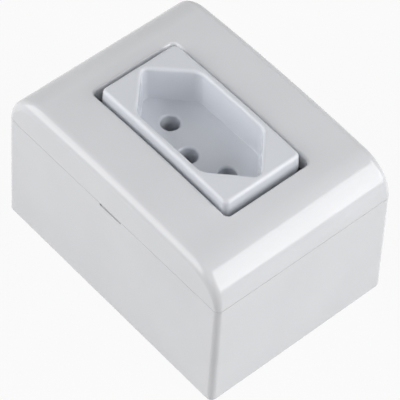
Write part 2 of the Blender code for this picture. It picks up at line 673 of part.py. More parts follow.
def make_clamp(material):
    """A brass cage round the strip's leg, with a screw hole in its outer wall."""
    half = CLAMP_WIDTH / 2
    low, high = CLAMP_LOW_Z, CLAMP_LOW_Z + CLAMP_HEIGHT
    clamp = block("clamp", (CLAMP_NEAR, -half, low), (CLAMP_FAR, half, high))
    cut(clamp, block("hollow", (CLAMP_NEAR + CLAMP_WALL, CLAMP_WALL - half, low - REACH),
                     (CLAMP_FAR - CLAMP_WALL, half - CLAMP_WALL, high + REACH)))
    thread = circle(TERMINAL_SCREW_RADIUS + GAP, SMALL_ROUND_STEPS)
    hole = prism("hole", thread, CLAMP_FAR - CLAMP_WALL - GAP / 2, CLAMP_FAR + REACH)
    move(hole, SCREW_AXIS)
    cut(clamp, hole)
    return finish(clamp, material)


def make_screw(name, material, radius, length, head_radius, head_height, cross):
    """A pan head screw standing on its axis: the head's underside at z = 0, the shank below it."""
    dome = head_height * DOME_SHARE
    tip = radius * TIP_SHARE
    profile = [(tip, -length), (radius, tip - length), (radius, 0.0), (head_radius, 0.0)]
    for t in quarter_turns(3)[:-1]:
        profile.append((head_radius * math.cos(t), head_height - dome * (1 - math.sin(t))))
    profile.append((head_radius / 4, head_height))
    screw = turned(name, profile, SMALL_ROUND_STEPS)
    width = head_radius * DRIVE_WIDTH_SHARE
    arm = head_radius * CROSS_SHARE if cross else head_radius + REACH
    arms = [(arm, width), (width, arm)] if cross else [(arm, width)]
    for half_x, half_y in arms:
        drive = rectangle(half_x, half_y)
        cut(screw, prism("drive", drive, head_height * (1 - DRIVE_DEPTH_SHARE), head_height + REACH))
    return finish(screw, material)


def make_terminal(material):
    """The terminal screw, lying along the strip's direction and pointing back at the strip's leg."""
    screw = make_screw("terminal_screw", material, TERMINAL_SCREW_RADIUS, SCREW_SEAT - LEG_FACE - GAP,
                       TERMINAL_HEAD_RADIUS, TERMINAL_HEAD_HEIGHT, cross=False)
    move(screw, SCREW_AXIS @ Matrix.Translation((0, 0, SCREW_SEAT)))
    return screw


def make_support_frame(material):
    """The frame that carries the module: a plate with a window, two screw holes and two snap tabs."""
    plate = rounded_rectangle(FRAME_X, FRAME_Y, FRAME_CORNER)
    frame = prism("support_frame", plate, FRAME_LOW_Z, FRAME_TOP_Z)
    window = rounded_rectangle(REAR_X + GAP, REAR_Y + GAP, INNER_RADIUS + GAP)
    cut(frame, prism("window", window, FRAME_LOW_Z - REACH, FRAME_TOP_Z + REACH))
    for end in (-1, 1):
        hole = circle(SUPPORT_SCREW_RADIUS + GAP, SMALL_ROUND_STEPS, end * BOSS_X, -end * BOSS_Y)
        cut(frame, prism("screw_hole", hole, FRAME_LOW_Z - REACH, FRAME_TOP_Z + REACH))
        top = FRAME_TOP_Z + TAB_HEIGHT
        barb_high = top - BARB_DROP
        barb_x = MODULE_X - BARB_BITE
        barb_low = barb_high - BARB_HEIGHT
        profile = [(TAB_X + TAB_WALL, FRAME_TOP_Z - REACH), (TAB_X + TAB_WALL, top), (TAB_X, top),
                   (TAB_X, barb_high), (barb_x, (barb_high + barb_low) / 2), (barb_x, barb_low),
                   (TAB_X, barb_low), (TAB_X, FRAME_TOP_Z - REACH)]
        half = TAB_WIDTH / 2
        add(frame, loft("tab", [[(end * x, y, z) for x, z in profile] for y in (-half, half)]))
    return finish(frame, material)


def main():
    """Clear the scene and build every piece."""
    for old in list(bpy.data.objects):
        bpy.data.objects.remove(old)
    white = make_material("white_abs", (0.72, 0.73, 0.75), 0.22)
    grey = make_material("grey_polyamide", (0.55, 0.56, 0.57), 0.45)
    brass = make_material("brass", (0.78, 0.58, 0.27), 0.3, 1.0)
    spring_steel = make_material("spring_steel", (0.5, 0.5, 0.52), 0.3, 1.0)
    zinc = make_material("zinc_plated_steel", (0.62, 0.63, 0.65), 0.35, 1.0)

    make_base_box(white)
    make_front_cover(white)
    make_socket_face(white)
    make_rear_cover(grey)
    make_support_frame(grey)

    contact = make_contact(brass)
    ring = make_spring_ring(spring_steel)
    clamp = make_clamp(brass)
    terminal = make_terminal(zinc)
    for name, (x, y), angle in terminals():
        place = Matrix.Translation((x, y, 0)) @ Matrix.Rotation(angle, 4, "Z")
        share(contact, name + "_contact", place)
        share(ring, name + "_spring_ring", place)
        share(clamp, name + "_clamp", place)
        share(terminal, name + "_terminal_screw", place)
    for master in (contact, ring, clamp, terminal):
        bpy.data.objects.remove(master)

    support = make_screw("support_screw", zinc, SUPPORT_SCREW_RADIUS, SUPPORT_SCREW_LENGTH,
                         SUPPORT_HEAD_RADIUS, SUPPORT_HEAD_HEIGHT, cross=True)
    length = FLOOR_UNDER_Z + HOUSING_SCREW_GRIP - REAR_LOW_Z + GAP
    housing = make_screw("housing_screw", zinc, HOUSING_SCREW_RADIUS, length,
                         HOUSING_HEAD_RADIUS, HOUSING_HEAD_HEIGHT, cross=True)
    turned_over = Matrix.Rotation(math.pi, 4, "X")
    for name, end in (("left", -1), ("right", 1)):
        front = Matrix.Translation((end * BOSS_X, -end * BOSS_Y, FRAME_TOP_Z + GAP))
        share(support, "support_screw_" + name, front)
        back = Matrix.Translation((end * POST_X, POST_Y, REAR_LOW_Z - GAP)) @ turned_over
        share(housing, "housing_screw_" + name, back)
    for master in (support, housing):
        bpy.data.objects.remove(master)


main()
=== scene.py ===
# %% [markdown]
# # Surface mounted socket
#
# A white moulded box that screws to a wall, a curved cover that clips on it, and one socket module
# that stands a little proud of the cover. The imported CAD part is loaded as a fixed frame: every new
# piece goes where it says. The three mouldings that one sees are made again here with finer rounding.
# The pieces inside keep their CAD meshes and only get materials.

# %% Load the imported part
import math

import bmesh
import bpy
from mathutils import Matrix, Vector


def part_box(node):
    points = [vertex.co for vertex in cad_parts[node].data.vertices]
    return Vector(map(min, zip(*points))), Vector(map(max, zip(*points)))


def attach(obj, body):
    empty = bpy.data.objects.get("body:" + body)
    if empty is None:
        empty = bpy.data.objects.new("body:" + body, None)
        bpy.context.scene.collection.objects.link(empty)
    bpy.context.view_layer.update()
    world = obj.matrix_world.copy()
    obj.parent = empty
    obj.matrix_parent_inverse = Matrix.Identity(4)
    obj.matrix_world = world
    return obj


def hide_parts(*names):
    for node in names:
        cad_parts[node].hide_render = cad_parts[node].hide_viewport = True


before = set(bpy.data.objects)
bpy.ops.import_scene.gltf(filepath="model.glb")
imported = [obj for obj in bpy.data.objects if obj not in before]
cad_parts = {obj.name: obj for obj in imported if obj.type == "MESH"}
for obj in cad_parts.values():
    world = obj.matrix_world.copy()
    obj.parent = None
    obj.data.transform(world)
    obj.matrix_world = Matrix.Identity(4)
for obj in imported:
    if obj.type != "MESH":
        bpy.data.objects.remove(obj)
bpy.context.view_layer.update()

# %% [markdown]
# ## Sizes
#
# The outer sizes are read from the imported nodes, so the new pieces can't drift from them. Walls, gaps
# and radii can't be read from a box, so they repeat the values of the part's source, in metres, or
# are a little finer where the picture shows more. GAP keeps two pieces apart. REACH is how far a
# solid runs past a face, so that a Boolean never meets two faces in one plane.

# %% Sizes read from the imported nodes
MM = 0.001
_, foot_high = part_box("base_box")
_, cover_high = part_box("front_cover")
_, face_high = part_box("socket_face")
BOX_X, BOX_Y, COVER_TOP_Z = cover_high
TONGUE_TOP_Z = foot_high.z
FOOT_SPREAD_X, FOOT_SPREAD_Y = foot_high.x - BOX_X, foot_high.y - BOX_Y
MODULE_X, MODULE_Y, FACE_TOP_Z = face_high
print("cover %.1f x %.1f mm, top at %.1f mm" % (2 * BOX_X / MM, 2 * BOX_Y / MM, COVER_TOP_Z / MM))
print("foot stands out by %.2f and %.2f mm" % (FOOT_SPREAD_X / MM, FOOT_SPREAD_Y / MM))
print("module %.1f x %.1f mm, top at %.2f mm" % (2 * MODULE_X / MM, 2 * MODULE_Y / MM, FACE_TOP_Z / MM))

# %% Sizes of walls, gaps and radii
GAP, REACH, SEAM_GAP = 0.3 * MM, 0.8 * MM, 0.13 * MM
SEAM_Z = 31.8 * MM
BASE_RIM_Z, COVER_LOW_Z = SEAM_Z - SEAM_GAP / 2, SEAM_Z + SEAM_GAP / 2
EDGE_RADIUS, FOOT_RADIUS, INNER_RADIUS = 1.5 * MM, 0.4 * MM, 0.5 * MM
WALL, BACK, TONGUE_WALL, COVER_WALL = 2.4 * MM, 2.4 * MM, 1.2 * MM, 2.2 * MM
INNER_X, INNER_Y = BOX_X - WALL, BOX_Y - WALL
FACE_PROUD, FACE_HEIGHT = 1.9 * MM, 14.3 * MM
FACE_LOW_Z = COVER_TOP_Z + FACE_PROUD - FACE_HEIGHT
print("seam at %.1f mm, module from %.1f mm up" % (SEAM_Z / MM, FACE_LOW_Z / MM))

# %% [markdown]
# ## Outlines and solids
#
# Nearly every face of a moulding is an outline that rises, shrinks a little at each step of a fillet,
# and stops. So a few helpers are enough: arcs, outlines with rounded corners, and a loft that joins
# equal outlines into a closed solid. Holes and ribs are Booleans on such solids. Sculpting or
# subdivision would round the edges too, but their radii would be guesses.

# %% Outlines
CORNER_STEPS, FILLET_STEPS, ROUND_STEPS = 12, 8, 64
QUARTER = [math.pi / 2 * i / FILLET_STEPS for i in range(FILLET_STEPS + 1)]


def arc(centre_a, centre_b, radius, start, end, steps):
    """Points on an arc from one angle to another, both ends included."""
    angles = [start + (end - start) * i / steps for i in range(steps + 1)]
    return [(centre_a + radius * math.cos(t), centre_b + radius * math.sin(t)) for t in angles]


def circle(radius, x=0.0, y=0.0):
    """Points round a circle."""
    return arc(x, y, radius, 0.0, 2 * math.pi, ROUND_STEPS)[:-1]


def rectangle(half_x, half_y):
    """Corners of a rectangle about the origin."""
    return [(a * half_x, b * half_y) for a, b in ((1, 1), (-1, 1), (-1, -1), (1, -1))]


def round_corners(corners, radii):
    """A convex outline with each corner turned into an arc; the radii are used in turn."""
    outline = []
    for i, (x, y) in enumerate(corners):
        radius = radii[i % len(radii)]
        before, after = corners[i - 1], corners[(i + 1) % len(corners)]
        into = Vector((x - before[0], y - before[1])).normalized()
        out = Vector((after[0] - x, after[1] - y)).normalized()
        turn = math.acos(into.dot(out))
        back = radius * math.tan(turn / 2)
        start = math.atan2(-into.x, into.y)
        outline += arc(x - into.x * back - into.y * radius, y - into.y * back + into.x * radius,
                       radius, start, start + turn, CORNER_STEPS)
    return outline


def rounded_rectangle(half_x, half_y, radius):
    """A rectangle about the origin with rounded corners."""
    return round_corners(rectangle(half_x, half_y), [radius])


print("a rounded rectangle has", len(rounded_rectangle(2, 1, 0.1)), "points")

# %% Solids


def new_body(name, bm):
    """A bmesh as an object of the scene."""
    mesh = bpy.data.meshes.new(name)
    bm.to_mesh(mesh)
    bm.free()
    body = bpy.data.objects.new(name, mesh)
    bpy.context.collection.objects.link(body)
    return body


def loft(name, loops, strips=False):
    """A closed solid through equal loops of points.

    With strips, the last cap is made of strips between points that mirror each other in y.
    """
    bm = bmesh.new()
    rings = [[bm.verts.new(point) for point in loop] for loop in loops]
    for lower, upper in zip(rings, rings[1:]):
        for i in range(len(lower)):
            bm.faces.new((lower[i - 1], lower[i], upper[i], upper[i - 1]))
    bm.faces.new(rings[0])
    last = rings[-1]
    if strips:
        for i in range(len(last) // 2 - 1):
            bm.faces.new((last[i], last[i + 1], last[-2 - i], last[-1 - i]))
    else:
        bm.faces.new(last)
    bmesh.ops.recalc_face_normals(bm, faces=bm.faces)
    return new_body(name, bm)


def stack(name, layers):
    """A solid from flat outlines: (outline, z) pairs."""
    return loft(name, [[(x, y, z) for x, y in outline] for outline, z in layers])


def prism(name, outline, low, high):
    """A straight solid between two heights."""
    return stack(name, [(outline, low), (outline, high)])


def block(name, low, high):
    """A solid box between two corners."""
    return prism(name, [(high[0], high[1]), (low[0], high[1]), (low[0], low[1]), (high[0], low[1])],
                 low[2], high[2])


def slab(name, profile, half):
    """A (y, z) profile drawn out along x, to half a width each way."""
    return loft(name, [[(x, y, z) for y, z in profile] for x in (-half, half)])


# %% Booleans


def bake(body):
    """Turn a body's modifiers into its mesh."""
    graph = bpy.context.evaluated_depsgraph_get()
    body.data = bpy.data.meshes.new_from_object(body.evaluated_get(graph))
    body.modifiers.clear()
    return body


def combine(body, operation, tools):
    """Apply Booleans to a body and delete the tools."""
    for tool in tools:
        modifier = body.modifiers.new("combine", "BOOLEAN")
        modifier.operation, modifier.solver, modifier.object = operation, "EXACT", tool
        bake(body)
        bpy.data.objects.remove(tool)


def cut(body, *tools):
    """Take tools away from a body."""
    combine(body, "DIFFERENCE", tools)


def add(body, *tools):
    """Make tools part of a body."""
    combine(body, "UNION", tools)


# %% [markdown]
# ## Nodes
#
# Materials and Geometry Nodes are both node trees, so one function adds a node to either. An input is
# given a plain value, or the node or socket that feeds it. Colours are written as sRGB hex, as a
# colour picker shows them, and are turned to the linear values that a renderer works with.

# %% Nodes and colours


def node(tree, kind, inputs=None, **settings):
    """Add one node with its settings; an input takes a value, a socket, or a node's first output."""
    made = tree.nodes.new(kind)
    for key, value in settings.items():
        setattr(made, key, value)
    for key, value in (inputs or {}).items():
        source = value.outputs[0] if isinstance(value, bpy.types.Node) else value
        if isinstance(source, bpy.types.NodeSocket):
            tree.links.new(source, made.inputs[key])
        else:
            made.inputs[key].default_value = source
    return made


def linear(code):
    """An sRGB hex colour as linear values."""
    parts = [int(code[i:i + 2], 16) / 255 for i in (1, 3, 5)]
    return [c / 12.92 if c <= 0.04045 else ((c + 0.055) / 1.055) ** 2.4 for c in parts] + [1.0]


print("mid grey is", round(linear("#808080")[0], 3))

# %% [markdown]
# ## Copies at points
#
# The box has two screw bosses, two wall slots and four catch ledges, the cover four hooks, the module
# three pin holes. Each is drawn once. A Geometry Nodes tree then puts a copy of it on each point of a
# small mesh, turned about the vertical by an angle that the point carries. Linked duplicates would do
# as well, but a tree keeps places and piece apart, and its copies are one real mesh at the end.

# %% The tree for copies
copies_tree = bpy.data.node_groups.new("copies_at_points", "GeometryNodeTree")
copies_tree.interface.new_socket("Points", in_out="INPUT", socket_type="NodeSocketGeometry")
PIECE_INPUT = copies_tree.interface.new_socket("Piece", in_out="INPUT", socket_type="NodeSocketObject")
FINISH_INPUT = copies_tree.interface.new_socket("Finish", in_out="INPUT",
                                                socket_type="NodeSocketMaterial")
copies_tree.interface.new_socket("Copies", in_out="OUTPUT", socket_type="NodeSocketGeometry")
entry = node(copies_tree, "NodeGroupInput")
turn = node(copies_tree, "GeometryNodeInputNamedAttribute", {"Name": "turn"}, data_type="FLOAT")
upright = node(copies_tree, "ShaderNodeCombineXYZ", {"Z": turn.outputs["Attribute"]})
shape = node(copies_tree, "GeometryNodeObjectInfo", {"Object": entry.outputs["Piece"]})
placed = node(copies_tree, "GeometryNodeInstanceOnPoints",
              {"Points": entry.outputs["Points"], "Instance": shape.outputs["Geometry"],
               "Rotation": upright})
real = node(copies_tree, "GeometryNodeRealizeInstances", {"Geometry": placed})
painted = node(copies_tree, "GeometryNodeSetMaterial",
               {"Geometry": real, "Material": entry.outputs["Finish"]})
node(copies_tree, "NodeGroupOutput", {0: painted})
print(len(copies_tree.nodes), "nodes in the tree")

# %% Making copies


def copies(piece, places, material=None):
    """Copies of a piece at (x, y, degrees) places, as one object; the piece itself is deleted."""
    points = bpy.data.meshes.new(piece.name + "_places")
    points.from_pydata([(x, y, 0.0) for x, y, _ in places], [], [])
    turns = points.attributes.new("turn", "FLOAT", "POINT")
    turns.data.foreach_set("value", [math.radians(degrees) for _, _, degrees in places])
    holder = bpy.data.objects.new(piece.name + "_copies", points)
    bpy.context.collection.objects.link(holder)
    modifier = holder.modifiers.new("copies", "NODES")
    modifier.node_group = copies_tree
    modifier[PIECE_INPUT.identifier] = piece
    modifier[FINISH_INPUT.identifier] = material
    bake(holder)
    bpy.data.objects.remove(piece)
    return holder


BOTH_ENDS = [(0.0, 0.0, 0.0), (0.0, 0.0, 180.0)]

# %% [markdown]
# ## Moulded plastic
#
# Box, cover and module are injection moulded ABS, white and fairly glossy. What the eye gets from it:
# a clean body colour that drifts very slightly where the melt flowed, sharp bright lines along the
# radii, and reflections that waver a little because the skin follows the tool's polish. So the
# material has a broad noise for tone and gloss, 18 mm across, and a fine one for the skin. The real
# skin is finer than a pixel here, so it is drawn about ten times too coarse and very shallow. Image
# textures could carry both, but noise needs no picture file and shows no seam.

# %% Plastic
FLOW_LENGTH, PLASTIC_IOR = 18 * MM, 1.54


def moulded_plastic(name, light, dark, roughness, grain, height):
    """Moulded plastic with a drift of tone and gloss and a fine skin."""
    material = bpy.data.materials.new(name)
    material.use_nodes = True
    tree = material.node_tree
    shader = tree.nodes["Principled BSDF"]
    place = node(tree, "ShaderNodeTexCoord").outputs["Object"]
    drift = node(tree, "ShaderNodeTexNoise", {"Vector": place, "Scale": 1 / FLOW_LENGTH, "Detail": 2.0})
    tone = node(tree, "ShaderNodeValToRGB", {"Fac": drift})
    for stop, position, code in zip(tone.color_ramp.elements, (0.3, 0.7), (dark, light)):
        stop.position, stop.color = position, linear(code)
    gloss = node(tree, "ShaderNodeMapRange",
                 {"Value": drift, "To Min": roughness * 0.9, "To Max": roughness * 1.1})
    skin = node(tree, "ShaderNodeTexNoise", {"Vector": place, "Scale": 1 / grain, "Detail": 2.0})
    bump = node(tree, "ShaderNodeBump", {"Height": skin, "Distance": height})
    for key, source in (("Base Color", tone), ("Roughness", gloss), ("Normal", bump)):
        tree.links.new(source.outputs[0], shader.inputs[key])
    shader.inputs["IOR"].default_value = PLASTIC_IOR
    return material


cover_abs = moulded_plastic("cover_white_abs", "#E4E5E8", "#E0E1E4", 0.13, 0.4 * MM, 0.001 * MM)
box_abs = moulded_plastic("box_white_abs", "#E4E5E8", "#E0E1E4", 0.15, 0.4 * MM, 0.001 * MM)
module_abs = moulded_plastic("module_white_abs", "#E2E5EB", "#DEE1E7", 0.10, 0.4 * MM, 0.0005 * MM)
polyamide = moulded_plastic("grey_polyamide", "#C4C6C8", "#B8BABC", 0.45, 0.3 * MM, 0.01 * MM)
print("plastics:", [m.name for m in (cover_abs, box_abs, module_abs, polyamide)])

# %% [markdown]
# ## Metals
#
# The sleeves and clamps inside are stamped brass, their collars spring steel, the screws zinc plated
# steel. Stamping and drawing leave fine streaks along the metal, plating leaves it mottled. One
# noise, stretched along the axis, drives tone and gloss, and the metals differ in colour and scale.
# The grain is drawn 0.3 to 0.6 mm wide, coarser than it is, so that it shows.

# %% Metals


def streaked_metal(name, light, dark, roughness, grain, stretch):
    """A metal whose tone and gloss vary in a fine grain, drawn out along its axis."""
    material = bpy.data.materials.new(name)
    material.use_nodes = True
    tree = material.node_tree
    shader = tree.nodes["Principled BSDF"]
    place = node(tree, "ShaderNodeTexCoord").outputs["Object"]
    drawn = node(tree, "ShaderNodeMapping", {"Vector": place, "Scale": (1.0, 1.0, 1 / stretch)})
    streaks = node(tree, "ShaderNodeTexNoise", {"Vector": drawn, "Scale": 1 / grain, "Detail": 4.0})
    tone = node(tree, "ShaderNodeValToRGB", {"Fac": streaks})
    for stop, position, code in zip(tone.color_ramp.elements, (0.3, 0.7), (dark, light)):
        stop.position, stop.color = position, linear(code)
    gloss = node(tree, "ShaderNodeMapRange",
                 {"Value": streaks, "To Min": roughness * 0.7, "To Max": roughness * 1.3})
    for key, source in (("Base Color", tone), ("Roughness", gloss)):
        tree.links.new(source.outputs[0], shader.inputs[key])
    shader.inputs["Metallic"].default_value = 1.0
    return material


brass = streaked_metal("stamped_brass", "#E0B866", "#C79A48", 0.3, 0.4 * MM, 6.0)
spring_steel = streaked_metal("drawn_spring_steel", "#A9AAAC", "#8C8D90", 0.35, 0.3 * MM, 6.0)
zinc = streaked_metal("zinc_plated_steel", "#C9CCD0", "#B4B7BC", 0.28, 0.6 * MM, 1.0)
print("metals:", [m.name for m in (brass, spring_steel, zinc)])

# %% [markdown]
# ## Cover: the skin
#
# Seen from its long side, the cover's outline follows a rule: a very flat arc on top, and at each end
# a tight arc that starts upright at the seam and runs into the flat one without a corner. The long
# edges are rounded too, and there each outline is the same one drawn a little further in. Their
# radius is the box's at the seam and grows along the tight arc.
#
# A loft of drawn outlines would do as well, but one rule that gives every point suits Geometry Nodes:
# a plain grid is laid out, and the number of each point tells its place along the outline and across
# the cover. The same tree makes the cover's outside and, with other inputs, the hollow inside it.

# %% The cover's arcs
END_STEPS, CROWN_STEPS = 40, 12
COLUMNS = 2 * (END_STEPS + CROWN_STEPS) + 1
ROWS = 2 * (FILLET_STEPS + 1)
CROWN_RADIUS, COVER_EDGE = 470.0 * MM, 2.6 * MM
COVER_RISE = COVER_TOP_Z - SEAM_Z
END_RADIUS = ((2 * CROWN_RADIUS * COVER_RISE - COVER_RISE ** 2 - BOX_X ** 2)
              / (2 * (CROWN_RADIUS - BOX_X)))
END_CENTRE = BOX_X - END_RADIUS
CROWN_CENTRE = COVER_TOP_Z - CROWN_RADIUS
TANGENT = math.atan2(SEAM_Z - CROWN_CENTRE, END_CENTRE)
print("end radius %.2f mm; the arcs meet %.1f degrees up" % (END_RADIUS / MM, math.degrees(TANGENT)))

# %% [markdown]
# Each step of the rule becomes one Math node. A row below gives the result's name, the operation, and
# what it works on: results from above, inputs of the tree, or numbers. Both halves of the cover
# mirror each other, so a point's place is counted from the nearer end and its sign put back later.

# %% The rule: a point's place, and how far it is drawn in round the long edge
ON_GRID = [
    ("row", "MODULO", "index", ROWS),
    ("column", "SUBTRACT", "index", "row"), ("column", "DIVIDE", "column", ROWS),
    ("column", "ROUND", "column", 0),
    ("row back", "SUBTRACT", ROWS - 1, "row"), ("near", "MINIMUM", "row", "row back"),
    ("across", "SUBTRACT", "row", "row back"), ("across", "SIGN", "across", 0),
    ("column back", "SUBTRACT", COLUMNS - 1, "column"), ("place", "MINIMUM", "column", "column back"),
    ("end", "SUBTRACT", "column back", "column"), ("end", "SIGN", "end", 0),
]
LONG_EDGE = [
    ("turn", "DIVIDE", "near", FILLET_STEPS), ("turn", "SUBTRACT", 1, "turn"),
    ("turn", "MULTIPLY", "turn", math.pi / 2),
    ("share", "MINIMUM", "place", END_STEPS), ("share", "DIVIDE", "share", END_STEPS),
    ("fillet", "MULTIPLY", "share", "Fillet growth"), ("fillet", "ADD", "fillet", "Fillet"),
    ("inset", "COSINE", "turn", 0), ("inset", "SUBTRACT", 1, "inset"),
    ("inset", "MULTIPLY", "inset", "fillet"), ("inset", "ADD", "inset", "Offset"),
    ("y", "SINE", "turn", 0), ("y", "SUBTRACT", 1, "y"), ("y", "MULTIPLY", "y", "fillet"),
    ("y", "SUBTRACT", "Half width", "y"), ("y", "MULTIPLY", "y", "across"),
]
print(len(ON_GRID) + len(LONG_EDGE), "steps to a point's place and y")

# %% The rule: the tight arc, the flat one, and the choice between them
END_ARC = [
    ("end radius", "SUBTRACT", "End radius", "inset"),
    ("start", "DIVIDE", "Rim above seam", "end radius"), ("start", "ARCSINE", "start", 0),
    ("angle", "SUBTRACT", TANGENT, "start"), ("angle", "MULTIPLY", "angle", "share"),
    ("angle", "ADD", "angle", "start"),
    ("end x", "COSINE", "angle", 0), ("end x", "MULTIPLY", "end x", "end radius"),
    ("end x", "ADD", "end x", END_CENTRE),
    ("end z", "SINE", "angle", 0), ("end z", "MULTIPLY", "end z", "end radius"),
    ("end z", "ADD", "end z", SEAM_Z),
]
CROWN_ARC = [
    ("crown radius", "SUBTRACT", "Crown radius", "inset"),
    ("share", "SUBTRACT", "place", END_STEPS), ("share", "MAXIMUM", "share", 0),
    ("share", "DIVIDE", "share", CROWN_STEPS), ("angle", "MULTIPLY", "share", math.pi / 2 - TANGENT),
    ("angle", "ADD", "angle", TANGENT),
    ("crown x", "COSINE", "angle", 0), ("crown x", "MULTIPLY", "crown x", "crown radius"),
    ("crown z", "SINE", "angle", 0), ("crown z", "MULTIPLY", "crown z", "crown radius"),
    ("crown z", "ADD", "crown z", CROWN_CENTRE),
]
CHOICE = [
    ("on crown", "GREATER_THAN", "place", END_STEPS),
    ("x", "SUBTRACT", "crown x", "end x"), ("x", "MULTIPLY", "x", "on crown"),
    ("x", "ADD", "x", "end x"), ("x", "MULTIPLY", "x", "end"),
    ("z", "SUBTRACT", "crown z", "end z"), ("z", "MULTIPLY", "z", "on crown"),
    ("z", "ADD", "z", "end z"),
]
print(len(END_ARC) + len(CROWN_ARC) + len(CHOICE), "steps to its x and z")

# %% The tree for the skin
skin_tree = bpy.data.node_groups.new("crowned_skin", "GeometryNodeTree")
skin_inputs = {}
for label in ("Half width", "Offset", "Fillet", "Fillet growth", "Rim above seam", "End radius",
              "Crown radius"):
    skin_inputs[label] = skin_tree.interface.new_socket(label, in_out="INPUT",
                                                        socket_type="NodeSocketFloat")
skin_inputs["Finish"] = skin_tree.interface.new_socket("Finish", in_out="INPUT",
                                                       socket_type="NodeSocketMaterial")
skin_tree.interface.new_socket("Skin", in_out="OUTPUT", socket_type="NodeSocketGeometry")
entry = node(skin_tree, "NodeGroupInput")
known = {label: entry.outputs[label] for label in skin_inputs}
known["index"] = node(skin_tree, "GeometryNodeInputIndex").outputs[0]
for label, operation, first, second in ON_GRID + LONG_EDGE + END_ARC + CROWN_ARC + CHOICE:
    step = node(skin_tree, "ShaderNodeMath", {0: known.get(first, first), 1: known.get(second, second)},
                operation=operation)
    known[label] = step.outputs[0]
grid = node(skin_tree, "GeometryNodeMeshGrid", {"Vertices X": COLUMNS, "Vertices Y": ROWS})
place = node(skin_tree, "ShaderNodeCombineXYZ", {"X": known["x"], "Y": known["y"], "Z": known["z"]})
shaped = node(skin_tree, "GeometryNodeSetPosition", {"Geometry": grid, "Position": place})
real = node(skin_tree, "GeometryNodeRealizeInstances", {"Geometry": shaped})
painted = node(skin_tree, "GeometryNodeSetMaterial",
               {"Geometry": real, "Material": entry.outputs["Finish"]})
node(skin_tree, "NodeGroupOutput", {0: painted})
print(len(skin_tree.nodes), "nodes;", COLUMNS, "x", ROWS, "points")

# %% [markdown]
# The tree gives an open sheet. Its two long borders and its rim are closed with one face each, which
# makes it a solid that Booleans can work on.

# %% The skin as a solid


def crowned_solid(name, offset, half_width, fillet, low_z, growth=0.0):
    """The cover's form as a solid, drawn in by an offset, from a height near the seam upwards."""
    body = bpy.data.objects.new(name, bpy.data.meshes.new(name))
    bpy.context.collection.objects.link(body)
    modifier = body.modifiers.new("skin", "NODES")
    modifier.node_group = skin_tree
    values = {"Half width": half_width, "Offset": offset, "Fillet": fillet, "Fillet growth": growth,
              "Rim above seam": low_z - SEAM_Z, "End radius": END_RADIUS, "Crown radius": CROWN_RADIUS}
    for label, value in values.items():
        modifier[skin_inputs[label].identifier] = value
    bake(body)
    bm = bmesh.new()
    bm.from_mesh(body.data)
    bm.verts.ensure_lookup_table()
    columns = [[bm.verts[i * ROWS + j] for j in range(ROWS)] for i in range(COLUMNS)]
    for j in (0, -1):
        bm.faces.new([column[j] for column in columns])
    bm.faces.new(columns[0] + columns[-1][::-1])
    bmesh.ops.recalc_face_normals(bm, faces=bm.faces)
    bm.to_mesh(body.data)
    bm.free()
    return body


def on_crown(outline, top_z, drop=0.0):
    """An outline laid on the crowned surface whose middle is at top_z, or a little under it."""
    radius = CROWN_RADIUS + top_z - COVER_TOP_Z
    return [(x, y, top_z - radius + math.sqrt(radius ** 2 - x ** 2) - drop) for x, y in outline]


cover = crowned_solid("cover_shell", 0.0, BOX_Y, EDGE_RADIUS, COVER_LOW_Z, COVER_EDGE - EDGE_RADIUS)
print("cover solid:", len(cover.data.polygons), "faces")

# %% [markdown]
# ## Cover: hollow, opening and hooks
#
# The hollow leaves a 2.2 mm wall. Solidify could make such a wall, but the tree can already draw a
# smaller cover, so it makes the cutter too. A rebate inside the rim takes the box's tongue, which
# keeps light from showing through the seam. The opening has small radii at its corners and along its
# edge, which show as a thin bright line on its far sides. A skirt under it guides the module, and
# four hooks clip the cover under ledges in the box.

# %% Opening
END_PLAY, SIDE_PLAY = 1.65 * MM, 0.97 * MM
OPENING_X, OPENING_Y = MODULE_X + END_PLAY, MODULE_Y + SIDE_PLAY
OPENING_CORNER, OPENING_EDGE = 1.3 * MM, 0.65 * MM
SKIRT_LOW, SKIRT_WALL = COVER_TOP_Z - 5.0 * MM, 1.2 * MM
SIDE_PIECES = 15


def split_sides(outline, corner_points, pieces):
    """The same outline with its straight sides split, so that it can follow the crown."""
    result = []
    for i in range(0, len(outline), corner_points):
        (ax, ay), (bx, by) = outline[i + corner_points - 1], outline[(i + corner_points) % len(outline)]
        count = pieces[i // corner_points % len(pieces)]
        result += outline[i:i + corner_points]
        result += [(ax + (bx - ax) * k / count, ay + (by - ay) * k / count) for k in range(1, count)]
    return result


def flared(name, outline, lower, radius, top_z):
    """A cutter that starts with the lower loops and opens out in a small radius at a crowned top."""
    loops = list(lower)
    for t in QUARTER:
        loops.append(on_crown(outline(radius * (1 - math.cos(t))), top_z, radius * (1 - math.sin(t))))
    loops.append([(x, y, top_z + REACH) for x, y in outline(radius)])
    return loft(name, loops)


def opening_outline(offset):
    """The cover's opening in plan, grown by an offset."""
    rounded = rounded_rectangle(OPENING_X + offset, OPENING_Y + offset, OPENING_CORNER + offset)
    return split_sides(rounded, CORNER_STEPS + 1, (SIDE_PIECES, 1))


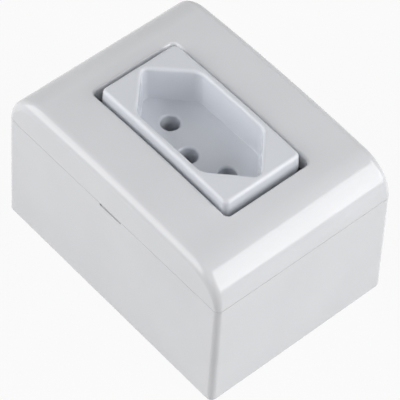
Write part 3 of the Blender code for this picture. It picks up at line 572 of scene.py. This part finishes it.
rebate = WALL - TONGUE_WALL - GAP
rebate_outline = rounded_rectangle(BOX_X - rebate, BOX_Y - rebate, EDGE_RADIUS - rebate)
skirt_outline = rounded_rectangle(OPENING_X + SKIRT_WALL, OPENING_Y + SKIRT_WALL, SKIRT_WALL)
cut(cover, crowned_solid("cavity", COVER_WALL, BOX_Y - COVER_WALL, INNER_RADIUS, COVER_LOW_Z - REACH),
    prism("rebate", rebate_outline, COVER_LOW_Z - REACH, TONGUE_TOP_Z + GAP))
add(cover, prism("skirt", skirt_outline, SKIRT_LOW, COVER_TOP_Z - COVER_WALL))
opening_foot = [(x, y, SKIRT_LOW - REACH) for x, y in opening_outline(0.0)]
cut(cover, flared("opening", opening_outline, [opening_foot], OPENING_EDGE, COVER_TOP_Z))
print("opening %.1f x %.1f mm" % (2 * OPENING_X / MM, 2 * OPENING_Y / MM))

# %% Hooks
LEDGE_LOW, LEDGE_TOP, LEDGE_LIP = BASE_RIM_Z - 7.6 * MM, BASE_RIM_Z - 6.0 * MM, 0.53 * MM
HOOK_FACE, HOOK_BACK, HOOK_CATCH = INNER_Y - 1.2 * MM, INNER_Y - 2.4 * MM, 0.9 * MM
HOOK_HALF, HOOK_X, HOOK_ROOT, HOOK_TIP, HOOK_BARB = 4.0 * MM, 18.0 * MM, 3.0 * MM, 2.2 * MM, 0.73 * MM
HOOK_PLACES = [(end * HOOK_X, 0.0, turn) for end in (-1, 1) for turn in (0.0, 180.0)]
root_low, barb_top = TONGUE_TOP_Z + GAP, LEDGE_LOW - GAP
root_high, barb_low, barb_edge = root_low + HOOK_ROOT, barb_top - HOOK_TIP, barb_top - HOOK_BARB
wall_y = BOX_Y - COVER_WALL + REACH
hook = slab("hook", [(HOOK_BACK, root_high), (HOOK_BACK, barb_low), (HOOK_FACE, barb_low),
                     (HOOK_FACE + HOOK_CATCH, barb_edge), (HOOK_FACE + HOOK_CATCH, barb_top),
                     (HOOK_FACE, barb_top), (HOOK_FACE, root_low), (wall_y, root_low),
                     (wall_y, root_high)], HOOK_HALF)
add(cover, copies(hook, HOOK_PLACES, cover_abs))
print(len(HOOK_PLACES), "hooks, each catches by %.1f mm" % (HOOK_CATCH / MM))

# %% [markdown]
# A piece is finished in one way throughout: smooth shading, edges kept sharp above 32 degrees, and
# normals weighted by the size of the faces. Without the weights the broad flat faces would pick up a
# false gradient from the narrow fillet faces beside them.

# %% Finishing a piece
SHARP_ANGLE = math.radians(32)


def finish(body, material, node_name):
    """Shade a piece, give it its material, and put it in the place of its CAD node."""
    body.data.materials.clear()
    body.data.materials.append(material)
    body.data.shade_smooth()
    body.data.set_sharp_from_angle(angle=SHARP_ANGLE)
    body.modifiers.new("weighted", "WEIGHTED_NORMAL").keep_sharp = True
    bake(body)
    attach(body, "root")
    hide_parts(node_name)
    edges = bmesh.new()
    edges.from_mesh(body.data)
    open_edges = sum(len(edge.link_faces) != 2 for edge in edges.edges)
    edges.free()
    print(body.name, len(body.data.polygons), "faces,", open_edges, "open edges")


finish(cover, cover_abs, "front_cover")

# %% [markdown]
# ## Box
#
# The box has nearly upright walls, which stand out a little more towards the foot, a small radius
# round its foot and at its four corners, and a tongue round its rim. In the middle of one long side
# a slit under the seam takes a screwdriver that lifts the cover off. The back has two slots for the
# wall screws and a scored disc that can be knocked out. A bevelled cube would have one radius on all
# its edges, so the walls are a stack of rounded rectangles instead, one for each height at which
# they change.

# %% Box walls
foot = [(FOOT_RADIUS * (1 - math.sin(t)), FOOT_RADIUS * (1 - math.cos(t))) for t in QUARTER]
tongue = WALL - TONGUE_WALL
steps = foot + [(0.0, BASE_RIM_Z), (tongue, BASE_RIM_Z), (tongue, TONGUE_TOP_Z), (WALL, TONGUE_TOP_Z),
                (WALL, BACK)]
layers = []
for inset, z in steps:
    lean = 0.0 if inset == WALL else max(1 - z / BASE_RIM_Z, 0.0)
    half_x, half_y = BOX_X - inset + FOOT_SPREAD_X * lean, BOX_Y - inset + FOOT_SPREAD_Y * lean
    layers.append((rounded_rectangle(half_x, half_y, max(EDGE_RADIUS - inset, INNER_RADIUS)), z))
box = stack("wall_box", layers)
print("box walls:", len(box.data.polygons), "faces")

# %% Bosses, slots and ledges
FRAME_TOP_Z = FACE_LOW_Z - GAP
BOSS_X, BOSS_Y, BOSS_RADIUS = MODULE_X + 2.8 * MM, 7.3 * MM, 2.6 * MM
BOSS_TOP_Z = FRAME_TOP_Z - 2.7 * MM
RIB_HALF, RIB_TOP_Z = 0.8 * MM, BOSS_TOP_Z - 8.0 * MM
PILOT_RADIUS, PILOT_LOW = 1.55 * MM, FRAME_TOP_Z - 12.7 * MM
SLOT_STRAIGHT, SLOT_RADIUS, PAD_BORDER, PAD_TOP = 1.6 * MM, 2.4 * MM, 2.2 * MM, BACK + 1.0 * MM
SLOT_X = 17.5 * MM
SLOT_PLACES = [(-SLOT_X, 0.0, 0.0), (SLOT_X, 0.0, 90.0)]


def slot_outline(radius):
    """A slot with round ends, lying along x."""
    half = ROUND_STEPS // 2
    return (arc(SLOT_STRAIGHT, 0.0, radius, -math.pi / 2, math.pi / 2, half)
            + arc(-SLOT_STRAIGHT, 0.0, radius, math.pi / 2, 3 * math.pi / 2, half))


boss = prism("boss", circle(BOSS_RADIUS, BOSS_X, -BOSS_Y), BACK - REACH, BOSS_TOP_Z)
add(box, copies(boss, BOTH_ENDS),
    copies(block("rib", (BOSS_X, -BOSS_Y - RIB_HALF, BACK - REACH),
                 (INNER_X + REACH, -BOSS_Y + RIB_HALF, RIB_TOP_Z)), BOTH_ENDS),
    copies(prism("pad", slot_outline(SLOT_RADIUS + PAD_BORDER), BACK - REACH, PAD_TOP), SLOT_PLACES))
ledge = slab("ledge", [(INNER_Y + REACH, LEDGE_LOW), (INNER_Y - HOOK_CATCH, LEDGE_LOW),
                       (INNER_Y - HOOK_CATCH, LEDGE_LOW + LEDGE_LIP),
                       (INNER_Y + REACH, LEDGE_TOP + REACH)], HOOK_HALF)
add(box, copies(ledge, HOOK_PLACES))
pilot = prism("pilot", circle(PILOT_RADIUS, BOSS_X, -BOSS_Y), PILOT_LOW, BOSS_TOP_Z + REACH)
cut(box, copies(pilot, BOTH_ENDS),
    copies(prism("slot", slot_outline(SLOT_RADIUS), -REACH, PAD_TOP + REACH), SLOT_PLACES))
print("with bosses, slots and ledges:", len(box.data.polygons), "faces")

# %% Knockouts and the slit
SIDE_KNOCKOUT, BACK_KNOCKOUT = 7.0 * MM, 8.0 * MM
GROOVE_HALF, GROOVE_DEPTH = 0.45 * MM, 1.6 * MM
PRY_HALF, PRY_HEIGHT = 3.5 * MM, 0.6 * MM


def groove(radius):
    """A ring cutter that scores a face on z = 0."""
    ring = prism("groove", circle(radius + GROOVE_HALF), -GROOVE_DEPTH, REACH)
    cut(ring, prism("core", circle(radius - GROOVE_HALF), -GROOVE_DEPTH - REACH, 2 * REACH))
    return ring


side_ring = groove(SIDE_KNOCKOUT)
side_ring.data.transform(Matrix.Translation((0, INNER_Y, (BACK + LEDGE_LOW) / 2))
                         @ Matrix.Rotation(math.pi / 2, 4, "X"))
back_ring = groove(BACK_KNOCKOUT)
back_ring.data.transform(Matrix.Rotation(math.pi, 4, "X"))
cut(box, copies(side_ring, BOTH_ENDS), back_ring,
    block("slit", (-PRY_HALF, -BOX_Y - REACH, BASE_RIM_Z - PRY_HEIGHT),
          (PRY_HALF, -INNER_Y + REACH, TONGUE_TOP_Z + REACH)))
finish(box, box_abs, "base_box")

# %% [markdown]
# ## Module
#
# The module's face is a block whose top is crowned like the cover, with rounded corners and a small
# fillet all round; its sides lean out a little as they go down. The recess for the plug is
# six-sided, 9.6 mm deep, with a soft rim, wide corners and ends that draw in towards its floor.
# Three pin holes in its floor start with a small rounded lead-in, and go on in tubes that hide the
# contacts. A Bevel modifier rounds the meeting of a curved top and upright walls unevenly, so block
# and recess are lofts whose last loops are laid on the crown.

# %% Module block
MODULE_CORNER, MODULE_FILLET, MODULE_LEAN = 1.4 * MM, 1.0 * MM, 0.2 * MM
FACE_WALL, FACE_TOP = 1.5 * MM, 1.8 * MM
RECESS_X, RECESS_Y = MODULE_X - 1.1 * MM, MODULE_Y - 1.8 * MM
RECESS_TIP, RECESS_CORNER, RECESS_RIM = 1.6 * MM, 4.0 * MM, 0.9 * MM
RECESS_FOOT, RECESS_DRAFT, RECESS_DEPTH, RECESS_FLOOR = 0.15 * MM, 0.45 * MM, 9.6 * MM, 2.4 * MM
RECESS_PIECES = (8, 16, 8)
RECESS_FLOOR_Z = COVER_TOP_Z + FACE_PROUD - RECESS_DEPTH
FLOOR_UNDER_Z = RECESS_FLOOR_Z - RECESS_FLOOR
WAIST_Z = COVER_TOP_Z - 2.0 * MM
FACE_INNER_X, FACE_INNER_Y = MODULE_X - FACE_WALL, MODULE_Y - FACE_WALL


def module_outline(inset):
    """The module's face in plan, shrunk by an inset."""
    rounded = rounded_rectangle(MODULE_X - inset, MODULE_Y - inset, MODULE_CORNER - inset)
    return split_sides(rounded, CORNER_STEPS + 1, (SIDE_PIECES, 1))


def recess_outline(offset, draft=0.0):
    """The plug recess in plan, six-sided with 45 degree ends: grown by an offset, its ends drawn in."""
    tip = RECESS_X + (offset - draft) * math.sqrt(2)
    side = RECESS_Y + offset
    corners = [(tip, 0.0), (tip - side, side), (side - tip, side),
               (-tip, 0.0), (side - tip, -side), (tip - side, -side)]
    radii = [RECESS_TIP + offset, RECESS_CORNER + offset, RECESS_CORNER + offset]
    return split_sides(round_corners(corners, radii), CORNER_STEPS + 1, RECESS_PIECES)


loops = [[(x, y, FACE_LOW_Z) for x, y in module_outline(0.0)],
         [(x, y, WAIST_Z) for x, y in module_outline(-MODULE_LEAN)]]
for t in QUARTER:
    loops.append(on_crown(module_outline(MODULE_FILLET * (1 - math.cos(t))), FACE_TOP_Z,
                          MODULE_FILLET * (1 - math.sin(t))))
face = loft("module_face", loops, strips=True)
cut(face, prism("hollow", rounded_rectangle(FACE_INNER_X, FACE_INNER_Y, INNER_RADIUS),
                FACE_LOW_Z - REACH, FLOOR_UNDER_Z))
print("module block:", len(face.data.polygons), "faces")

# %% Corner pockets and recess
wall_line = RECESS_X + FACE_WALL * math.sqrt(2)
pocket = [(FACE_INNER_X, wall_line - FACE_INNER_X), (FACE_INNER_X, FACE_INNER_Y),
          (wall_line - FACE_INNER_Y, FACE_INNER_Y)]
for mirror in (1, -1):
    corner = prism("pocket", [(x, mirror * y) for x, y in pocket], FLOOR_UNDER_Z - REACH,
                   FACE_TOP_Z - FACE_TOP)
    cut(face, copies(corner, BOTH_ENDS))
recess_foot = []
for t in QUARTER:
    outline = recess_outline(-RECESS_FOOT * (1 - math.sin(t)), RECESS_DRAFT)
    recess_foot.append([(x, y, RECESS_FLOOR_Z + RECESS_FOOT * (1 - math.cos(t))) for x, y in outline])
cut(face, flared("recess", recess_outline, recess_foot, RECESS_RIM, FACE_TOP_Z))
print("recess %.1f x %.1f mm" % (2 * RECESS_X / MM, 2 * RECESS_Y / MM))

# %% Pin holes
PIN_X, EARTH_Y = 9.5 * MM, -3.0 * MM
PIN_PLACES = [(-PIN_X, 0.0, 0.0), (PIN_X, 0.0, 0.0), (0.0, EARTH_Y, 0.0)]
PIN_HOLE, PIN_LEAD, TUBE_WALL = 2.15 * MM, 0.6 * MM, 1.0 * MM
TUBE_LOW, TUBE_TOP = FLOOR_UNDER_Z - 4.0 * MM, RECESS_FLOOR_Z - 1.2 * MM
bore = [(circle(PIN_HOLE), TUBE_LOW - REACH)]
bore += [(circle(PIN_HOLE + PIN_LEAD * (1 - math.cos(t))),
          RECESS_FLOOR_Z - PIN_LEAD * (1 - math.sin(t))) for t in QUARTER]
bore += [(circle(PIN_HOLE + PIN_LEAD), RECESS_FLOOR_Z + REACH)]
tube = prism("tube", circle(PIN_HOLE + TUBE_WALL), TUBE_LOW, TUBE_TOP)
add(face, copies(tube, PIN_PLACES))
cut(face, copies(stack("bore", bore), PIN_PLACES))
print(len(PIN_PLACES), "pin holes, %.1f mm wide" % (2 * PIN_HOLE / MM))

# %% Screw posts and notches
POST_RADIUS, POST_MARGIN, POST_PILOT, PILOT_DEPTH = 2.2 * MM, 0.15 * MM, 1.4 * MM, 6.0 * MM
NOTCH_DEPTH, NOTCH_HALF, NOTCH_LOW, NOTCH_HIGH = 0.8 * MM, 4.8 * MM, 2.1 * MM, 4.1 * MM
post_x = FACE_INNER_X - GAP - POST_RADIUS - POST_MARGIN
post_y = -(FACE_INNER_Y - GAP - POST_RADIUS - POST_MARGIN)
for end in (-1, 1):
    add(face, prism("post", circle(POST_RADIUS, end * post_x, post_y), FLOOR_UNDER_Z + POST_MARGIN,
                    FACE_TOP_Z - FACE_TOP + REACH))
    cut(face, prism("post_pilot", circle(POST_PILOT, end * post_x, post_y), FLOOR_UNDER_Z - REACH,
                    FLOOR_UNDER_Z + PILOT_DEPTH))
cut(face, copies(block("notch", (MODULE_X - NOTCH_DEPTH, -NOTCH_HALF, FRAME_TOP_Z + NOTCH_LOW),
                       (MODULE_X + REACH, NOTCH_HALF, FRAME_TOP_Z + NOTCH_HIGH)), BOTH_ENDS))
finish(face, module_abs, "socket_face")

# %% [markdown]
# ## Pieces inside
#
# Housing, frame, contacts and screws stay as the CAD made them. They could be made again with finer
# edges, but they hardly show: only through the gap round the module, the wall slots and the pin holes.
# Each still gets the finish of its real material.

# %% Finishes for the carried-over nodes
FINISHES = [("rear_cover", polyamide), ("support_frame", polyamide), ("screw", zinc),
            ("contact", brass), ("clamp", brass), ("ring", spring_steel),
            ("base_box", box_abs), ("front_cover", cover_abs), ("socket_face", module_abs)]
for name, piece in sorted(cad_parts.items()):
    material = next(made for word, made in FINISHES if word in name)
    for i in range(len(piece.data.materials)):
        piece.data.materials[i] = material
print(len(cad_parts), "nodes have their finish")

# %% [markdown]
# ## Floor and surroundings
#
# The object lies on pale paper in a white studio. The camera, and what the plastic mirrors, see paper
# and studio as plain white, through Light Path, so no extra light is needed to make them so. A small
# share of the paper's own shading is kept, and with it a faint shadow round the object. The paper is
# one-sided, so that a view from below shows the box's back.

# %% Rays that see plain white


def plain_rays(tree):
    """1 for camera, glossy and transmitted rays, 0 for the light that falls on things."""
    path = node(tree, "ShaderNodeLightPath")
    direct = node(tree, "ShaderNodeMath", {0: path.outputs["Is Camera Ray"],
                                           1: path.outputs["Is Glossy Ray"]}, operation="MAXIMUM")
    return node(tree, "ShaderNodeMath", {0: direct, 1: path.outputs["Is Transmission Ray"]},
                operation="MAXIMUM")


# %% Floor
FLOOR_Z, FLOOR_HALF, WHITE_SHARE = -0.01 * MM, 3.0, 0.93
floor_mesh = bpy.data.meshes.new("floor")
floor_corners = [(x, y, FLOOR_Z) for x, y in rectangle(FLOOR_HALF, FLOOR_HALF)]
floor_mesh.from_pydata(floor_corners, [], [(0, 1, 2, 3)])
floor = bpy.data.objects.new("floor", floor_mesh)
bpy.context.collection.objects.link(floor)
paper = bpy.data.materials.new("white_paper")
paper.use_nodes = True
tree = paper.node_tree
shader = tree.nodes["Principled BSDF"]
shader.inputs["Base Color"].default_value = linear("#BCBCBC")
shader.inputs["Roughness"].default_value = 0.9
shader.inputs["Specular IOR Level"].default_value = 0.0
white = node(tree, "ShaderNodeEmission", {"Strength": 1.0})
share = node(tree, "ShaderNodeMath", {0: plain_rays(tree), 1: WHITE_SHARE}, operation="MULTIPLY")
seen = node(tree, "ShaderNodeMixShader", {0: share, 1: shader, 2: white})
below = node(tree, "ShaderNodeNewGeometry").outputs["Backfacing"]
clear = node(tree, "ShaderNodeBsdfTransparent")
one_sided = node(tree, "ShaderNodeMixShader", {0: below, 1: seen, 2: clear})
tree.links.new(one_sided.outputs[0], tree.nodes["Material Output"].inputs["Surface"])
floor_mesh.materials.append(paper)
print("floor:", floor.name)

# %% World
DIM, WHITE = 0.02, 1.0
world = bpy.data.worlds.new("studio")
bpy.context.scene.world = world
world.use_nodes = True
tree = world.node_tree
around = node(tree, "ShaderNodeBackground", {"Color": linear("#FFFFFF"), "Strength": DIM})
white = node(tree, "ShaderNodeBackground", {"Color": linear("#FFFFFF"), "Strength": WHITE})
seen = node(tree, "ShaderNodeMixShader", {0: plain_rays(tree), 1: around, 2: white})
tree.links.new(seen.outputs[0], tree.nodes["World Output"].inputs["Surface"])
print("world:", world.name)

# %% [markdown]
# ## Lamps
#
# Two large soft lamps stand far to the right and left of the camera. The right one draws the broad
# bright band on the round end, and the left one, which is larger, the soft glint along the long
# edge. A small weak one below the camera lifts the shade inside the opening. A picture of a studio
# on the world would light it as well, but three plain lamps can each be aimed.

# %% Lamps
AIM, LAMP_DISTANCE = Vector((0.0, 0.0, 30 * MM)), 0.8


def softbox(name, azimuth, elevation, width, height, power):
    """A rectangular lamp that faces the object; degrees, metres and watts.

    The azimuth is counted from the -Y side towards +X, as the camera's is.
    """
    lamp = bpy.data.lights.new(name, "AREA")
    lamp.shape, lamp.size, lamp.size_y, lamp.energy = "RECTANGLE", width, height, power
    made = bpy.data.objects.new(name, lamp)
    bpy.context.collection.objects.link(made)
    turn, rise = math.radians(azimuth), math.radians(elevation)
    away = Vector((math.sin(turn) * math.cos(rise), -math.cos(turn) * math.cos(rise), math.sin(rise)))
    made.location = AIM + away * LAMP_DISTANCE
    made.rotation_euler = away.to_track_quat("Z", "Y").to_euler()
    print(name, [round(c, 3) for c in made.location])


softbox("softbox_right", 125, 26, 0.75, 0.72, 6.7)
softbox("softbox_left", -35, 28, 1.10, 0.70, 6.9)
softbox("softbox_front", 46, 35, 0.40, 0.25, 0.3)

# %% [markdown]
# ## Camera
#
# A camera set by eye mixes up distance and lens. So its angles, distance and lens were solved from
# the box's corners, the seam, the opening and the recess in the picture. It stands 0.59 m away with a
# long lens, rolled by 3 degrees.

# %% Camera
AZIMUTH, ELEVATION, ROLL = (math.radians(angle) for angle in (46.399, 51.4667, 3.3411))
TARGET = Vector((0.0, 0.0, 20 * MM))
DISTANCE, RIGHTWARD, UPWARD = 586.26 * MM, 0.8091 * MM, -2.2775 * MM
FOCAL_PIXELS, IMAGE_PIXELS, SENSOR = 2644.08, 400, 36.0
back = Vector((math.sin(AZIMUTH) * math.cos(ELEVATION), -math.cos(AZIMUTH) * math.cos(ELEVATION),
               math.sin(ELEVATION)))
level = Vector((math.cos(AZIMUTH), math.sin(AZIMUTH), 0.0))
steep = back.cross(level)
right = math.cos(ROLL) * level + math.sin(ROLL) * steep
up = math.cos(ROLL) * steep - math.sin(ROLL) * level
lens = bpy.data.cameras.new("camera")
lens.sensor_width, lens.lens = SENSOR, FOCAL_PIXELS / IMAGE_PIXELS * SENSOR
lens.clip_start, lens.clip_end = 0.01, 20.0
camera = bpy.data.objects.new("camera", lens)
bpy.context.collection.objects.link(camera)
camera.matrix_world = Matrix((right, up, back)).transposed().to_4x4()
camera.location = TARGET + right * RIGHTWARD + up * UPWARD + back * DISTANCE
bpy.context.scene.camera = camera
bpy.context.scene.view_settings.view_transform = "Standard"
print("lens %.1f mm" % lens.lens)
